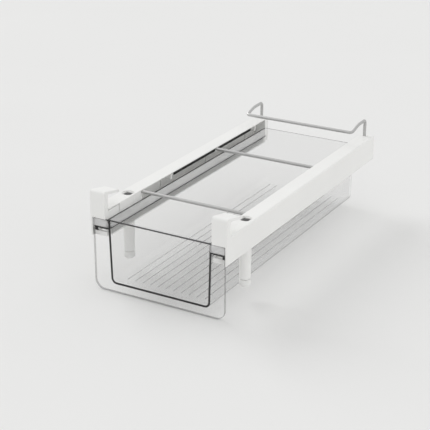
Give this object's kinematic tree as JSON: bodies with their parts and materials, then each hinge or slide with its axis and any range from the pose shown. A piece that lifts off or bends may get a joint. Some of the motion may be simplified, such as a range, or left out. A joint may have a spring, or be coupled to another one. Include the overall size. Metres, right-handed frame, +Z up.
{
  "type": "hanging drawer",
  "caption": "Clear pull-out drawer in white rails that hang under a refrigerator shelf on front hooks, screw clamps and a rear wire.",
  "frame": {"origin": "centre of the part's footprint, at the lower edge of the drawer front", "axes": "+Y to the back along the rails, +Z up, +X to the right when facing the drawer front"},
  "size_m": [0.1552, 0.345, 0.1067],
  "materials": {
    "white_plastic": "fine moulded satin",
    "knob_plastic": "fine moulded satin",
    "soft_rubber": "matt",
    "clamp_steel": "turned",
    "rod_steel": "drawn, satin",
    "wire_steel": "drawn and plated",
    "clear_plastic": "clear, polished"
  },
  "bodies": {
    "frame": {"left_rail": "white_plastic", "left_front_hook": "white_plastic", "left_screw_sleeve": "white_plastic", "right_rail": "white_plastic", "right_front_hook": "white_plastic", "right_screw_sleeve": "white_plastic", "front_cross_rod": "rod_steel", "rear_cross_rod": "rod_steel", "rear_hanger": "wire_steel"},
    "drawer": {"drawer_tub": "clear_plastic", "drawer_front_panel": "clear_plastic"},
    "left_screw": {"left_clamp_screw": "clamp_steel", "left_clamp_knob": "knob_plastic"},
    "left_pad": {"left_clamp_pad": "knob_plastic", "left_pad_tip": "soft_rubber"},
    "right_screw": {"right_clamp_screw": "clamp_steel", "right_clamp_knob": "knob_plastic"},
    "right_pad": {"right_clamp_pad": "knob_plastic", "right_pad_tip": "soft_rubber"}
  },
  "joints": [
    {"name": "drawer_slide", "type": "slide", "parent": "frame", "child": "drawer", "axis": [0, -1, 0], "range_m": [0, 0.24]},
    {"name": "left_knob_turn", "type": "hinge", "parent": "frame", "child": "left_screw", "pos_m": [-0.0683, -0.1198, 0.0368], "axis": [0, 0, 1], "range_deg": [0, 960]},
    {"name": "left_pad_lift", "type": "slide", "parent": "frame", "child": "left_pad", "axis": [0, 0, 1], "range_m": [0, 0.0081]},
    {"name": "right_knob_turn", "type": "hinge", "parent": "frame", "child": "right_screw", "pos_m": [0.0683, -0.1198, 0.0368], "axis": [0, 0, 1], "range_deg": [0, 960]},
    {"name": "right_pad_lift", "type": "slide", "parent": "frame", "child": "right_pad", "axis": [0, 0, 1], "range_m": [0, 0.0081]}
  ],
  "couplings": [
    {"joint": "left_pad_lift", "follows": "left_knob_turn", "m_per_rad": 0.00047746},
    {"joint": "right_pad_lift", "follows": "right_knob_turn", "m_per_rad": 0.00047746}
  ]
}
